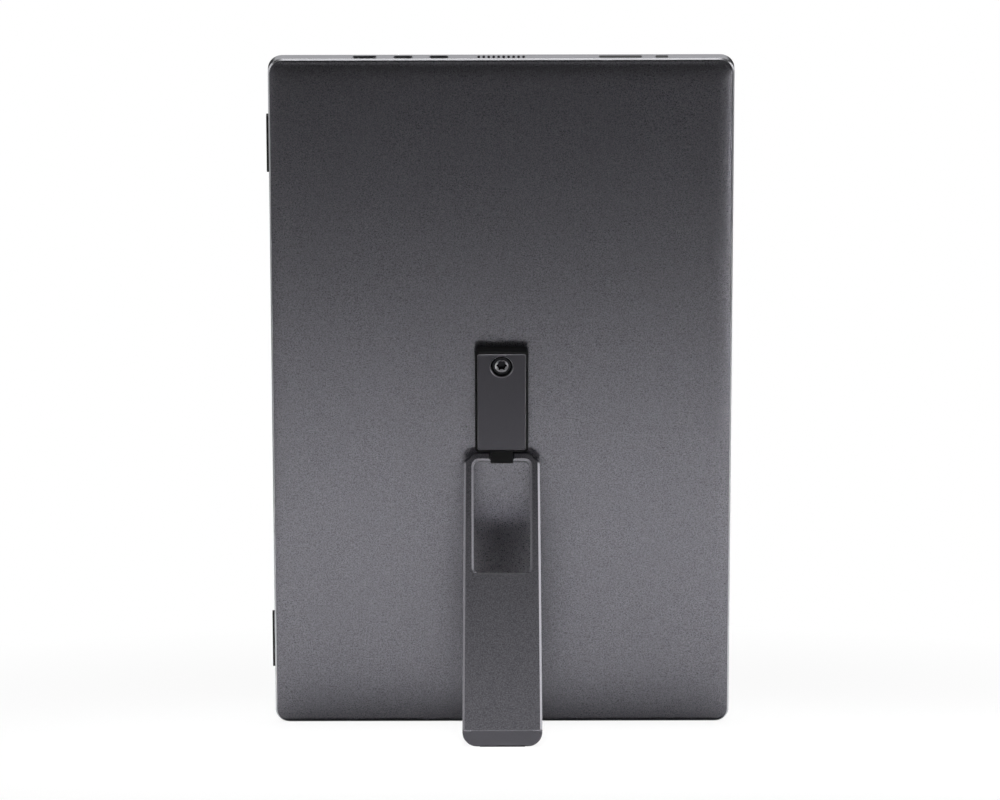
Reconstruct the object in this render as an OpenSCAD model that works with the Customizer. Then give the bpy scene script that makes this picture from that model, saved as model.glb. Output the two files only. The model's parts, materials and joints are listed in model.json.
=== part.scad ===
// Slim portable monitor standing on its short edge, seen from behind on a folding one-leg stand.
// Millimetres. +Z is up, the screen faces +Y, the back and the stand face -Y.
// In the monitor's own frame x runs across, z up from the bottom edge, and y from the
// back rim of the side frame towards the screen.

/* [Monitor] */
// Width of the monitor across its short edge
monitor_w = 225; // [205:1:260]
// Height of the monitor along its long edge
monitor_h = 357; // [330:1:390]
// Radius of the four corners, seen from behind
corner_r = 7; // [5:0.5:12]
// Depth of the side frame from its back rim to the screen side
frame_depth = 6; // [5.9:0.1:8]
// Wall of the side frame
frame_wall = 1.6; // [1.4:0.1:2]
// Wall of the thin rim that surrounds the rear cover
rim_wall = 0.8; // [0.7:0.05:1]
// Depth of the step in which the rear cover sits
rim_depth = 0.7; // [0.5:0.05:0.75]
// Polished chamfer along the back rim
edge_chamfer = 0.66; // [0.3:0.02:0.7]
// Chamfer along the front rim
front_chamfer = 0.6; // [0.2:0.1:0.9]
// How far the monitor leans back from upright, in degrees
lean = 19; // [12:1:28]

/* [Rear cover] */
// Sheet thickness of the rear cover
cover_t = 1; // [0.8:0.1:1.2]
// How far the flat of the rear cover stands behind the back rim
dome = 1.6; // [1.4:0.1:2.4]
// Width of the soft curve from the rim to the flat
dome_band = 10; // [6:1:14]
// Parting gap between the rear cover and the rim
cover_gap = 0.25; // [0.1:0.05:0.3]

/* [Screen] */
// Thickness of the cover glass
glass_t = 0.6; // [0.5:0.05:0.8]
// Width of the frame's front rim around the cover glass
glass_rim = 1; // [0.9:0.1:1.4]
// Gap around the cover glass
glass_gap = 0.1; // [0.05:0.05:0.2]
// Gap around the liquid crystal cell
cell_gap = 0.4; // [0.2:0.1:0.8]
// Thickness of the liquid crystal cell
cell_t = 0.8; // [0.6:0.1:0.9]
// Thickness of the frame's inner ledge that carries the cell
ledge_t = 0.48; // [0.3:0.02:0.5]
// Width of the frame from its outside to the ledge's inner edge
ledge_w = 3; // [2.8:0.1:4]
// Thickness of the stacked optical films
films_t = 0.3; // [0.2:0.05:0.4]
// Thickness of the light guide
guide_t = 0.8; // [0.5:0.1:0.9]
// Thickness of the reflector sheet
reflector_t = 0.2; // [0.1:0.05:0.25]
// Sheet thickness of the steel panel tray
tray_t = 0.4; // [0.3:0.05:0.5]
// Gap between the side frame's wall and the panel tray
tray_gap = 0.6; // [0.4:0.1:1]
// Free strip above the panel tray for sockets and buttons
top_strip = 9; // [8.9:0.1:12]
// Free strip beside the lit area for the panel's driver board
chin = 20; // [18:1:26]
// Width of the light strip along the light guide
led_w = 1.6; // [1.2:0.1:2]

/* [Sockets] */
// Depth of the sockets' centre line from the back rim
port_depth = 2.4; // [2.38:0.01:2.44]
// Outside height of a socket shell
socket_h = 3.16; // [3:0.02:3.2]
// Width of the video socket shell
video_w = 11.2; // [10:0.1:13]
// Width of a data socket shell
data_w = 8.94; // [8.4:0.02:9.4]
// Length of a socket shell
socket_len = 7.3; // [6.5:0.1:7.8]
// Sheet thickness of a socket shell
shell_t = 0.3; // [0.2:0.05:0.4]
// Gap between a socket shell and its opening
socket_gap = 0.1; // [0.05:0.01:0.12]
// How far a socket's mouth lies inside the top edge
socket_sink = 0.6; // [0.3:0.1:1]
// Place of the video socket, from the middle of the top edge
video_x = -65.8; // [-72:0.2:-62]
// Places of the two data sockets, from the middle of the top edge
data_x = [-47.3, -30];

/* [Sound slots] */
// Number of sound slots in the top edge
slot_count = 10; // [6:1:12]
// Distance between neighbouring sound slots
slot_pitch = 2.4; // [1.8:0.1:2.6]
// Width of a sound slot
slot_w = 1.2; // [0.8:0.1:1.4]
// Height of a sound slot
slot_h = 2.9; // [2:0.1:3.2]
// Depth of the speaker behind its gasket
speaker_len = 6; // [4:0.1:6.2]

/* [Buttons] */
// Place of the rocker button, from the middle of the top edge
rocker_x = 57.5; // [52:0.5:58]
// Length of the rocker button
rocker_len = 19.9; // [16:0.1:22]
// How far the rocker tips each way, in degrees
rocker_tip = 3; // [2:0.5:3]
// Place of the power button, from the middle of the top edge
power_x = 77.4; // [76.5:0.1:90]
// Length of the power button
power_len = 5.4; // [4:0.1:6]
// Height of the button caps
button_h = 2.5; // [2.2:0.1:2.6]
// Gap beside a button cap, along the edge
button_gap = 0.3; // [0.25:0.05:0.4]
// Travel of the power button
power_travel = 0.4; // [0.3:0.05:0.4]

/* [Rubber strips] */
// Length of each rubber strip on the long edge
strip_len = 30; // [20:1:40]
// Distance from the monitor's end to the middle of a strip
strip_from_end = 45; // [30:1:60]
// How far a strip stands out of the edge
strip_proud = 1.1; // [0.6:0.1:1.6]
// Width of a strip
strip_w = 3.6; // [2.5:0.1:4]
// Depth of the groove that holds a strip
strip_groove = 0.5; // [0.3:0.1:0.7]

/* [Stand block] */
// Width of the block on the monitor's back
block_w = 26; // [23:0.5:30]
// Length of the block
block_len = 54; // [46:1:64]
// Thickness of the block, without its pad
block_t = 6.1; // [5.9:0.1:8]
// Corner radius of the block
block_r = 1.8; // [1:0.1:3]
// Thickness of the pad between the block and the rear cover
pad_t = 0.4; // [0.2:0.1:0.6]
// Thickness of the face plate let into the block
plate_t = 0.9; // [0.6:0.1:1.2]
// Width of the block's rim around the face plate
plate_rim = 1; // [0.6:0.1:1.5]
// Cut chamfer around the face plate and its hole
plate_chamfer = 0.4; // [0.2:0.1:0.5]
// Radius of the recess for the screw head
recess_r = 5.4; // [5:0.1:6.5]
// Depth of the screw head's seat below the block's face
recess_depth = 4.4; // [4:0.1:4.6]
// Distance from the block's top to the screw
screw_drop = 8; // [7.5:0.1:12]
// Radius of the stand screw's thread
screw_r = 3; // [2.5:0.1:3.2]
// Thickness of the threaded anchor plate inside the monitor
anchor_t = 2; // [1.5:0.1:2.4]

/* [Leg] */
// Angle of the leg from upright when the monitor stands, in degrees
leg_splay = 17; // [10:1:25]
// Thickness of the leg
leg_t = 3.6; // [3:0.1:3.8]
// Width of the leg at the hinge
leg_top_w = 37.3; // [35:0.1:44]
// Width of the leg at the foot
leg_foot_w = 39; // [36:0.2:46]
// Length of the foot lip, down to the floor
lip_len = 8; // [7:0.5:12]
// Radius of the foot lip's corners
lip_r = 7; // [4:0.5:7]
// Bevel along the leg's edges
leg_bevel = 1.1; // [0.6:0.1:1.4]
// Radius that rounds the leg's sloping top corners into its sides
leg_corner_r = 2.5; // [1:0.1:4]
// Height of the hinge bar above the hinge line
bar_up = 1.9; // [1.7:0.1:2]
// Height of the hinge bar below the hinge line
bar_down = 2.7; // [2.1:0.1:2.8]
// Gap between the folded leg and the block
nest_gap = 0.8; // [0.5:0.05:1]
// Radius of the hinge pin
pin_r = 1.25; // [1:0.05:1.3]
// Radial running clearance of the hinge pin
pin_clear = 0.05; // [0.02:0.01:0.08]
// Width of the block's hinge knuckle
knuckle_w = 11; // [8:0.5:14]
// How far the knuckle reaches below the hinge line
knuckle_drop = 3.2; // [2.6:0.1:3.4]
// Thickness of each friction washer
washer_t = 0.3; // [0.2:0.05:0.5]
// Length of the rubber foot pad
foot_pad_w = 22; // [16:1:24]

/* [Hidden] */
$fn = 48;

// small overlap used where a cut has to pass a face
cut = 0.5;
// clearance between still pieces that nearly touch
snug = 0.02;

// layers of the screen, counted back from the front
glass_y = frame_depth - glass_t;
cell_y = glass_y - cell_t;
ledge_y = cell_y - ledge_t;
films_y = cell_y - films_t;
guide_y = films_y - guide_t;
reflector_y = guide_y - reflector_t;
tray_y = reflector_y - tray_t;

// the lit area lies between these edges
tray_side = frame_wall + tray_gap;
lit_left = -monitor_w / 2 + chin;
layer_gap = 0.2;
lit_right = monitor_w / 2 - ledge_w - layer_gap;
lit_low = ledge_w + layer_gap;
lit_high = monitor_h - top_strip - tray_t - layer_gap;

// inside face of the rear cover's flat
floor_y = cover_t - dome;
cover_inset = rim_wall + cover_gap;
dome_rings = 6;

// inside face of the top wall, and the sockets' places
wall_z = monitor_h - frame_wall;
mouth_z = monitor_h - socket_sink;
data_count = len(data_x);

// main board, lying behind the sockets
board_t = 0.8;
board_len = 55;
board_past_video = 22.2;
board_past_data = 16;
board_from_top = 4.6;
board_y = port_depth - socket_h / 2 - snug - board_t;
board_left = video_x - board_past_video;
board_right = data_x[data_count - 1] + board_past_data;
board_top = monitor_h - board_from_top;
board_low = board_top - board_len;
board_screw_r = 0.7;
board_screw_in = 4;
board_hole_x = [board_left + board_screw_in, board_right - board_screw_in];
board_hole_z = [board_low + board_screw_in, board_top - 2.5 * board_screw_in];
boss_r = 1.9;
chip_t = 1.1;
ribbon_t = 0.15;

// plug of the panel's ribbon, on the board's left, and the shielded part on its right
plug_in = 2;
plug_w = 6;
plug_len = 14;
plug_drop = 24;
ribbon_y = tray_y - board_t - snug - ribbon_t;
can_in = 4;
can_w = 16;
can_h = 1.5;
can_drop = 18;
can_wall = 0.2;

// driver board of the panel, on the back of its tray beside the lit area
driver_w = 13.5;
driver_right = lit_left - 2;
driver_left = driver_right - driver_w;
driver_low = 60;
driver_from_top = 28;
driver_high = monitor_h - driver_from_top;
led_inset = 3;

// buttons: heights are counted down from the top edge
cap_sink = 0.15;
button_flange_t = 0.6;
button_flange_out = 0.5;
rocker_flange_z = monitor_h - 2.4;
power_flange_z = wall_z - 0.1;
rocker_pin_r = 0.4;
rocker_pin_z = rocker_flange_z - button_flange_t - 1;
rocker_stem_x = 7.5;
stem_w = 1.6;
stem_h = 1.2;
button_slot_h = button_h + 0.4;
switch_t = 0.8;
switch_gap = 0.45;
switch_z = rocker_flange_z - button_flange_t - 2.15 - switch_gap;
button_board_z = switch_z - switch_t - board_t;
bracket_z = button_board_z - 1.6;
bracket_y0 = port_depth - 1.5;
bracket_y1 = ledge_y - 0.07;
ear_t = 0.4;
bracket_leg = 1.5;
bracket_past_rocker = 1.5;
bracket_past_power = 4;
bracket_left = rocker_x - rocker_len / 2 - bracket_past_rocker - bracket_leg;
bracket_right = power_x + power_len / 2 + bracket_past_power + bracket_leg;
cable_start = 8;
cable_drop = 18;
cable_w = 5;
riser_w = 6;

// stand, in the monitor's frame
axis_off = 3.3;
hinge_drop = 3.4;
block_low = monitor_h / 2 - block_len / 2;
axis_y = -dome - axis_off;
axis_z = block_low - hinge_drop;
block_back_y = -dome - pad_t;
block_face_y = block_back_y - block_t;
screw_z = block_low + block_len - screw_drop;
peg_r = 1.6;
peg_x = 7;
peg_up = 12;
peg_z = block_low + peg_up;
hole_clear = 0.2;
plate_proud = 0.2;
head_r = recess_r - 0.5;
head_t = recess_depth - 1.1;
head_chamfer = 0.4;
knuckle_r = 2.9;
knuckle_edge = 1.4;

// star-shaped socket in the screw's head, with a cone at its mouth
star_depth = 2.4;
star_lobe_r = 0.5;
star_r = 2.6;
star_core_r = 1.95;
star_mouth = 0.7;

anchor_w = 24;
anchor_len = 26;

// where the hinge line lies when the monitor stands, and the leg that reaches the floor
frame_front = (frame_depth - edge_chamfer) * cos(lean) - front_chamfer * sin(lean);
frame_back = (monitor_h - edge_chamfer) * sin(lean) + edge_chamfer * cos(lean);
origin_y = (frame_back - frame_front) / 2;
hinge_y = origin_y + (axis_y - edge_chamfer) * cos(lean) - axis_z * sin(lean);
hinge_z = (axis_y - edge_chamfer) * sin(lean) + axis_z * cos(lean);
leg_run = (hinge_z - lip_len) / cos(leg_splay);
foot_pad_t = 0.8;
foot_pad_proud = 0.25;
foot_pad_depth = 2.2;
lip_end = lip_len - foot_pad_proud;
window_w = block_w + 2 * nest_gap;
window_len = block_len + hinge_drop - bar_down + nest_gap + 0.2;
window_r = block_r + nest_gap;
corner_cut_x = 5.4;
corner_cut_z = 4.7;
slot_bevel = 0.5;
arc_steps = 6;
arm_gap = knuckle_w / 2 + washer_t + 2 * snug;
pin_half = leg_top_w / 2 - corner_cut_x + 0.8;

// Places a piece of the monitor in the standing pose
module in_monitor() {
    translate([0, origin_y, 0]) rotate([lean, 0, 0]) translate([0, -edge_chamfer, 0]) children();
}

// Places a piece of the leg: its own frame has the hinge line at the origin, the leg along -z
module in_leg() {
    translate([0, hinge_y, hinge_z]) rotate([-leg_splay, 0, 0]) children();
}

// Flat rounded rectangle, centred across and standing on the x axis
module rounded(w, h, r) {
    translate([-w / 2 + r, 0]) square([w - 2 * r, h]);
    translate([-w / 2, r]) square([w, h - 2 * r]);
    for (sx = [-1, 1], z = [r, h - r]) translate([sx * (w / 2 - r), z]) circle(r);
}

// Extrudes an outline drawn in x and z between two depths
module between(y0, y1) {
    translate([0, y1, 0]) rotate([90, 0, 0]) linear_extrude(y1 - y0) children();
}

// Sheet with the monitor's outline, drawn in on all sides
module sheet(inset, y0, y1, r = corner_r) {
    translate([0, 0, inset])
        between(y0, y1) rounded(monitor_w - 2 * inset, monitor_h - 2 * inset, max(r - inset, 0.4));
}

// Box given by its low and high corners
module span(low, high) {
    translate(low) cube(high - low);
}

// Round bar along y between two depths
module bar_y(x, z, r, y0, y1) {
    translate([x, y1, z]) rotate([90, 0, 0]) cylinder(r = r, h = y1 - y0);
}

// Round bar along x
module bar_x(r, x0, x1) {
    translate([x0, 0, 0]) rotate([0, 90, 0]) cylinder(r = r, h = x1 - x0);
}

// Softly domed form of the rear cover, drawn in by an amount
module dome_form(inward) {
    ring_r = corner_r - cover_inset;
    hull() {
        for (k = [0 : dome_rings]) {
            a = 90 * k / dome_rings;
            in_by = cover_inset + inward + dome_band * (1 - cos(a));
            y = inward - dome * sin(a);
            translate([0, 0, in_by]) between(y, y + 0.01)
                rounded(monitor_w - 2 * in_by, monitor_h - 2 * in_by, ring_r, $fn = 24);
        }
        translate([0, 0, cover_inset + inward]) between(inward + rim_depth - 0.01, inward + rim_depth)
            rounded(monitor_w - 2 * (cover_inset + inward), monitor_h - 2 * (cover_inset + inward),
                ring_r, $fn = 24);
    }
}

module rear_cover() {
    color("#4a4a4e") in_monitor() difference() {
        union() {
            difference() {
                dome_form(0);
                dome_form(cover_t);
            }
            for (x = board_hole_x, z = board_hole_z)
                bar_y(x, z, boss_r, floor_y - 0.1, board_y);
        }
        for (x = board_hole_x, z = board_hole_z)
            bar_y(x, z, board_screw_r + snug, floor_y - 0.5, board_y + cut);
        bar_y(0, screw_z, screw_r + hole_clear, -dome - cut, floor_y + cut);
        for (sx = [-1, 1]) bar_y(sx * peg_x, peg_z, peg_r + hole_clear, -dome - cut, floor_y + cut);
    }
}

// Outer form of the side frame with its two chamfers
module frame_form() {
    hull() {
        sheet(edge_chamfer, 0, 0.01, corner_r + edge_chamfer / 2);
        sheet(0, edge_chamfer, frame_depth - front_chamfer);
        sheet(front_chamfer, frame_depth - 0.01, frame_depth, corner_r + front_chamfer / 2);
    }
}

// Slot through the top wall, centred on the sockets' depth
module top_slot(x, w, h, r) {
    translate([x, port_depth, wall_z - cut]) linear_extrude(frame_wall + 2 * cut)
        translate([0, -h / 2]) rounded(w, h, r);
}

module rubber_strip(grow) {
    side = -monitor_w / 2;
    for (z = [strip_from_end, monitor_h - strip_from_end])
        translate([side + strip_groove, frame_depth / 2, z - strip_len / 2 - grow])
            rotate([0, -90, 0]) rotate([0, 0, -90])
                linear_extrude(strip_groove + strip_proud)
                    rounded(strip_w + 2 * grow, strip_len + 2 * grow, 1.2);
}

module side_frame() {
    color("#85858a") in_monitor() difference() {
        frame_form();
        sheet(rim_wall, -cut, rim_depth);
        sheet(frame_wall, rim_depth - cut, ledge_y);
        sheet(ledge_w, ledge_y - cut, cell_y + cut);
        sheet(frame_wall, cell_y, glass_y + cut);
        sheet(glass_rim, glass_y, frame_depth + cut);
        top_slot(video_x, video_w + 2 * socket_gap, socket_h + 2 * socket_gap, 0.9);
        for (x = data_x) top_slot(x, data_w + 2 * socket_gap, socket_h + 2 * socket_gap, 1.4);
        for (i = [0 : slot_count - 1])
            top_slot((i - (slot_count - 1) / 2) * slot_pitch, slot_w, slot_h, slot_w / 2 - 0.05);
        top_slot(rocker_x, rocker_len + 2 * button_gap, button_slot_h, 0.8);
        top_slot(power_x, power_len + 2 * button_gap, button_slot_h, 0.8);
        rubber_strip(snug);
    }
}

module cover_glass() {
    color("#101012") in_monitor() sheet(glass_rim + glass_gap, glass_y, frame_depth);
}

module lcd_cell() {
    color("#2b2c33") in_monitor() sheet(frame_wall + cell_gap, cell_y, glass_y);
}

// Sheet of the lit area between two depths, with corners that clear the tray's
module lit_sheet(y0, y1) {
    translate([(lit_left + lit_right) / 2, 0, lit_low])
        between(y0, y1) rounded(lit_right - lit_left, lit_high - lit_low, corner_r - ledge_w);
}

module optical_films() {
    color("#e8e8e4") in_monitor() lit_sheet(films_y, cell_y);
}

module light_guide() {
    color("#dfe8ea") in_monitor() lit_sheet(guide_y, films_y);
}

module led_strip() {
    color("#f1e6a8") in_monitor()
        span([lit_left - led_w - snug, reflector_y, lit_low + led_inset],
            [lit_left - snug, films_y, lit_high - led_inset]);
}

module reflector_sheet() {
    color("#f4f4f2") in_monitor() lit_sheet(reflector_y, guide_y);
}

// Steel tray: a floor with a rim that meets the frame's ledge on three sides
module panel_tray() {
    w = monitor_w - 2 * tray_side;
    h = monitor_h - top_strip - tray_side;
    r = corner_r - tray_side;
    color("#9a9c9f") in_monitor() translate([0, 0, tray_side]) difference() {
        between(tray_y, ledge_y) rounded(w, h, r);
        translate([0, 0, tray_t]) between(reflector_y, ledge_y + cut)
            rounded(w - 2 * tray_t, h - 2 * tray_t, r - tray_t);
    }
}

module panel_driver_board() {
    color("#1f5a3a") in_monitor()
        span([driver_left, tray_y - board_t, driver_low], [driver_right, tray_y, driver_high]);
}

module panel_ribbon() {
    color("#c98f3a") in_monitor()
        span([driver_left + driver_w / 4, ribbon_y, board_top - plug_drop - plug_len],
            [board_left + plug_in + plug_w + 1, ribbon_y + ribbon_t, board_top - plug_drop]);
}

module main_board() {
    color("#1d4f38") in_monitor() difference() {
        span([board_left, board_y, board_low], [board_right, board_y + board_t, board_top]);
        for (x = board_hole_x, z = board_hole_z)
            bar_y(x, z, board_screw_r + hole_clear, board_y - cut, board_y + board_t + cut);
    }
}

// Chips and connectors on the board: place across, place down, width and height
chips = [[26, 30, 13, 13], [44, 27, 9, 12], [44, 44, 11, 7], [62, 44, 6, 6], [14, 46, 8, 5]];
module board_chips() {
    color("#26262a") in_monitor() {
        for (c = chips)
            translate([board_left + c[0] - c[2] / 2, board_y + board_t, board_top - c[1] - c[3] / 2])
                cube([c[2], chip_t, c[3]]);
        span([board_left + plug_in, board_y + board_t, board_top - plug_drop - plug_len],
            [board_left + plug_in + plug_w, ribbon_y - snug, board_top - plug_drop]);
    }
}

module shield_can() {
    low = [board_right - can_in - can_w, board_y + board_t, board_top - can_drop - can_w];
    color("#b5b7ba") in_monitor() difference() {
        translate(low) cube([can_w, can_h, can_w]);
        translate(low + [can_wall, -cut, can_wall])
            cube([can_w - 2 * can_wall, can_h - can_wall + cut, can_w - 2 * can_wall]);
    }
}

module board_screws() {
    color("#a8a8a8") in_monitor() for (x = board_hole_x, z = board_hole_z) {
        bar_y(x, z, board_screw_r, floor_y - 0.4, board_y + board_t);
        difference() {
            bar_y(x, z, 2 * board_screw_r, board_y + board_t, board_y + board_t + 0.6);
            for (turn = [0, 90]) translate([x, board_y + board_t + 0.6, z]) rotate([0, turn, 0])
                cube([1.6, 0.5, 0.3], center = true);
        }
    }
}

// Shell of a socket: a sheet metal tube with a closed back
module socket_shell(x, w, r) {
    translate([x, port_depth, mouth_z - socket_len]) difference() {
        linear_extrude(socket_len) translate([0, -socket_h / 2]) rounded(w, socket_h, r);
        translate([0, 0, shell_t]) linear_extrude(socket_len)
            translate([0, shell_t - socket_h / 2])
                rounded(w - 2 * shell_t, socket_h - 2 * shell_t, r - shell_t);
    }
}

// Contact tongue inside a socket
module socket_tongue(x, w) {
    translate([x - w / 2, port_depth - 0.35, mouth_z - socket_len + shell_t])
        cube([w, 0.7, socket_len - shell_t - 0.8]);
}

module video_socket_shell() {
    color("#b9bbbe") in_monitor() socket_shell(video_x, video_w, 0.8);
}

module video_socket_tongue() {
    color("#17171a") in_monitor() socket_tongue(video_x, video_w - 3.6);
}

module data_socket_shells() {
    color("#b9bbbe") in_monitor() for (x = data_x) socket_shell(x, data_w, 1.3);
}

module data_socket_tongues() {
    color("#17171a") in_monitor() for (x = data_x) socket_tongue(x, data_w - 2.4);
}

gasket_t = 0.8;
speaker_side = 5;
speaker_w = (slot_count - 1) * slot_pitch + slot_w + 2 * speaker_side;
speaker_h = 3;

module speaker_gasket() {
    color("#2a2a2c") in_monitor() difference() {
        translate([-speaker_w / 2, port_depth - speaker_h / 2, wall_z - gasket_t])
            cube([speaker_w, speaker_h, gasket_t]);
        translate([-speaker_w / 2 + 2, port_depth - speaker_h / 2 + 0.3, wall_z - gasket_t - cut])
            cube([speaker_w - 4, speaker_h - 0.6, gasket_t + 2 * cut]);
    }
}

module speaker() {
    color("#1b1b1d") in_monitor()
        translate([-speaker_w / 2, port_depth - speaker_h / 2, wall_z - gasket_t - speaker_len])
            cube([speaker_w, speaker_h, speaker_len]);
}

// Plastic bar behind the buttons, hung on the top wall by two end legs
module button_bracket() {
    color("#3a3a3d") in_monitor() difference() {
        union() {
            span([bracket_left, bracket_y0, bracket_z], [bracket_right, bracket_y1, button_board_z]);
            for (x = [bracket_left, bracket_right - bracket_leg])
                span([x, bracket_y0, bracket_z], [x + bracket_leg, bracket_y1, wall_z]);
            for (y = [bracket_y0, bracket_y1 - ear_t])
                span([rocker_x - 1.4, y, bracket_z], [rocker_x + 1.4, y + ear_t, rocker_pin_z + 0.8]);
        }
        bar_y(rocker_x, rocker_pin_z, rocker_pin_r + snug, bracket_y0 - cut, bracket_y1 + cut);
    }
}

module button_board() {
    color("#1d4f38") in_monitor()
        span([bracket_left + bracket_leg + 0.2, bracket_y0 + ear_t + 0.1, button_board_z],
            [bracket_right - bracket_leg - 0.2, bracket_y1 - ear_t - 0.1, button_board_z + board_t]);
}

switch_x = [rocker_x - rocker_stem_x, rocker_x + rocker_stem_x, power_x];
module button_switches() {
    color("#c8c8c8") in_monitor() for (x = switch_x)
        translate([x - 1.5, port_depth - 0.9, switch_z - switch_t]) cube([3, 1.8, switch_t]);
}

// Flat cable from the main board along the rear cover and up behind the button board
module button_ribbon() {
    y = floor_y + 0.12;
    right = rocker_x - 2;
    left = right - riser_w;
    low = board_top - cable_drop;
    bend_z = bracket_z - 2 * snug - ribbon_t;
    color("#c98f3a") in_monitor() {
        span([board_right - cable_start, y, low], [right, y + ribbon_t, low + cable_w]);
        span([left, y, low], [right, y + ribbon_t, bend_z]);
        span([left, y, bend_z], [right, tray_y - 0.5, bend_z + ribbon_t]);
    }
}

module rocker_pin() {
    color("#c0c0c0") in_monitor()
        bar_y(rocker_x, rocker_pin_z, rocker_pin_r, bracket_y0, bracket_y1);
}

// Cap of a button with its retaining flange
module button_cap(x, len, flange_z) {
    translate([x, port_depth, flange_z - cut]) linear_extrude(monitor_h - cap_sink - flange_z + cut)
        translate([0, -button_h / 2]) rounded(len, button_h, 0.7);
    span([x - len / 2 - button_flange_out, port_depth - button_h / 2 - 0.3, flange_z - button_flange_t],
        [x + len / 2 + button_flange_out, port_depth + button_h / 2 + 0.3, flange_z]);
}

module button_stem(x, from_z) {
    span([x - stem_w / 2, port_depth - stem_h / 2, switch_z + switch_gap],
        [x + stem_w / 2, port_depth + stem_h / 2, from_z]);
}

module rocker_button() {
    under = rocker_flange_z - button_flange_t;
    color("#1c1c1e") in_monitor() difference() {
        union() {
            button_cap(rocker_x, rocker_len, rocker_flange_z);
            for (sx = [-1, 1]) button_stem(rocker_x + sx * rocker_stem_x, under + 0.1);
            span([rocker_x - 1.3, port_depth - 0.95, rocker_pin_z - 0.8],
                [rocker_x + 1.3, port_depth + 0.95, under + 0.1]);
        }
        bar_y(rocker_x, rocker_pin_z, rocker_pin_r + pin_clear, port_depth - 2, port_depth + 2);
    }
}

module power_button() {
    color("#1c1c1e") in_monitor() {
        button_cap(power_x, power_len, power_flange_z);
        button_stem(power_x, power_flange_z - button_flange_t + 0.1);
    }
}

module rubber_strips() {
    color("#161617") in_monitor() rubber_strip(0);
}

module stand_anchor() {
    color("#8f9194") in_monitor() difference() {
        span([-anchor_w / 2, floor_y, screw_z - anchor_len / 2],
            [anchor_w / 2, floor_y + anchor_t, screw_z + anchor_len / 2]);
        bar_y(0, screw_z, screw_r + snug, floor_y - cut, floor_y + anchor_t + cut);
    }
}

module stand_pad() {
    color("#121213") in_monitor() difference() {
        translate([0, 0, block_low + 0.5]) between(block_back_y, -dome)
            rounded(block_w - 1, block_len - 1, block_r - 0.4);
        bar_y(0, screw_z, screw_r + hole_clear, block_back_y - cut, -dome + cut);
        for (sx = [-1, 1]) bar_y(sx * peg_x, peg_z, peg_r + hole_clear, block_back_y - cut, -dome + cut);
    }
}

// Block with the recess for its face plate, the screw's recess, two pegs and the hinge knuckle
module stand_block() {
    rim_chamfer = 0.4;
    plate_seat = block_face_y + plate_t - plate_proud;
    color("#1a1a1c") in_monitor() difference() {
        union() {
            hull() {
                translate([0, 0, block_low]) between(block_face_y + rim_chamfer, block_back_y)
                    rounded(block_w, block_len, block_r, $fn = 32);
                translate([0, 0, block_low + rim_chamfer]) between(block_face_y, block_back_y)
                    rounded(block_w - 2 * rim_chamfer, block_len - 2 * rim_chamfer, block_r, $fn = 32);
            }
            translate([-knuckle_w / 2, axis_y, axis_z - knuckle_drop]) rotate([90, 0, 90])
                linear_extrude(knuckle_w)
                    rounded(2 * knuckle_r, knuckle_drop + hinge_drop + 2 * knuckle_edge, knuckle_edge);
            for (sx = [-1, 1]) bar_y(sx * peg_x, peg_z, peg_r, block_back_y - 1, floor_y - 0.1);
        }
        translate([0, 0, block_low + plate_rim]) between(block_face_y - cut, plate_seat)
            rounded(block_w - 2 * plate_rim, block_len - 2 * plate_rim, block_r - 0.6);
        bar_y(0, screw_z, recess_r, block_face_y - cut, block_face_y + recess_depth);
        bar_y(0, screw_z, screw_r + hole_clear, block_face_y, block_back_y + cut);
        translate([0, axis_y, axis_z]) bar_x(pin_r + pin_clear, -knuckle_w, knuckle_w);
    }
}

// Cone along y, from one radius at its front to another at its back
module cone_y(z, y0, r0, y1, r1) {
    translate([0, y0, z]) rotate([-90, 0, 0]) cylinder(r1 = r0, r2 = r1, h = y1 - y0);
}

module stand_face_plate() {
    gap = 0.1;
    face = block_face_y - plate_proud;
    seat = face + plate_t;
    rim = plate_rim + gap;
    inner = rim + plate_chamfer;
    plate_r = block_r - 0.7;
    color("#434347") in_monitor() difference() {
        hull() {
            translate([0, 0, block_low + rim]) between(face + plate_chamfer, seat)
                rounded(block_w - 2 * rim, block_len - 2 * rim, plate_r, $fn = 32);
            translate([0, 0, block_low + inner]) between(face, seat)
                rounded(block_w - 2 * inner, block_len - 2 * inner, plate_r - plate_chamfer / 2, $fn = 32);
        }
        bar_y(0, screw_z, recess_r, face - cut, seat + cut);
        cone_y(screw_z, face - snug, recess_r + plate_chamfer + snug, face + plate_chamfer, recess_r);
    }
}

// Outline of the screw's star-shaped socket
module star() {
    circle(star_core_r);
    for (turn = [0 : 60 : 300]) rotate(turn) translate([star_r - star_lobe_r, 0]) circle(star_lobe_r);
}

module stand_screw() {
    seat = block_face_y + recess_depth;
    top = seat - head_t;
    color("#2a2a2c") in_monitor() difference() {
        union() {
            bar_y(0, screw_z, head_r, top + head_chamfer, seat);
            cone_y(screw_z, top, head_r - head_chamfer, top + head_chamfer, head_r);
            bar_y(0, screw_z, screw_r, seat - 0.1, floor_y + anchor_t - 0.2);
        }
        translate([0, 0, screw_z]) between(top - cut, top + star_depth) star();
        cone_y(screw_z, top - snug, star_r + star_mouth + snug, top + star_mouth, star_r - star_lobe_r);
    }
}

module friction_washers() {
    color("#3c3c3f") in_monitor() translate([0, axis_y, axis_z]) for (sx = [-1, 1])
        translate([sx * (knuckle_w + washer_t + 2 * snug) / 2, 0, 0]) difference() {
            bar_x(2.1, -washer_t / 2, washer_t / 2);
            bar_x(pin_r + pin_clear, -washer_t, washer_t);
        }
}

module hinge_pin() {
    color("#8a8c90") in_leg() bar_x(pin_r, -pin_half, pin_half);
}

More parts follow.
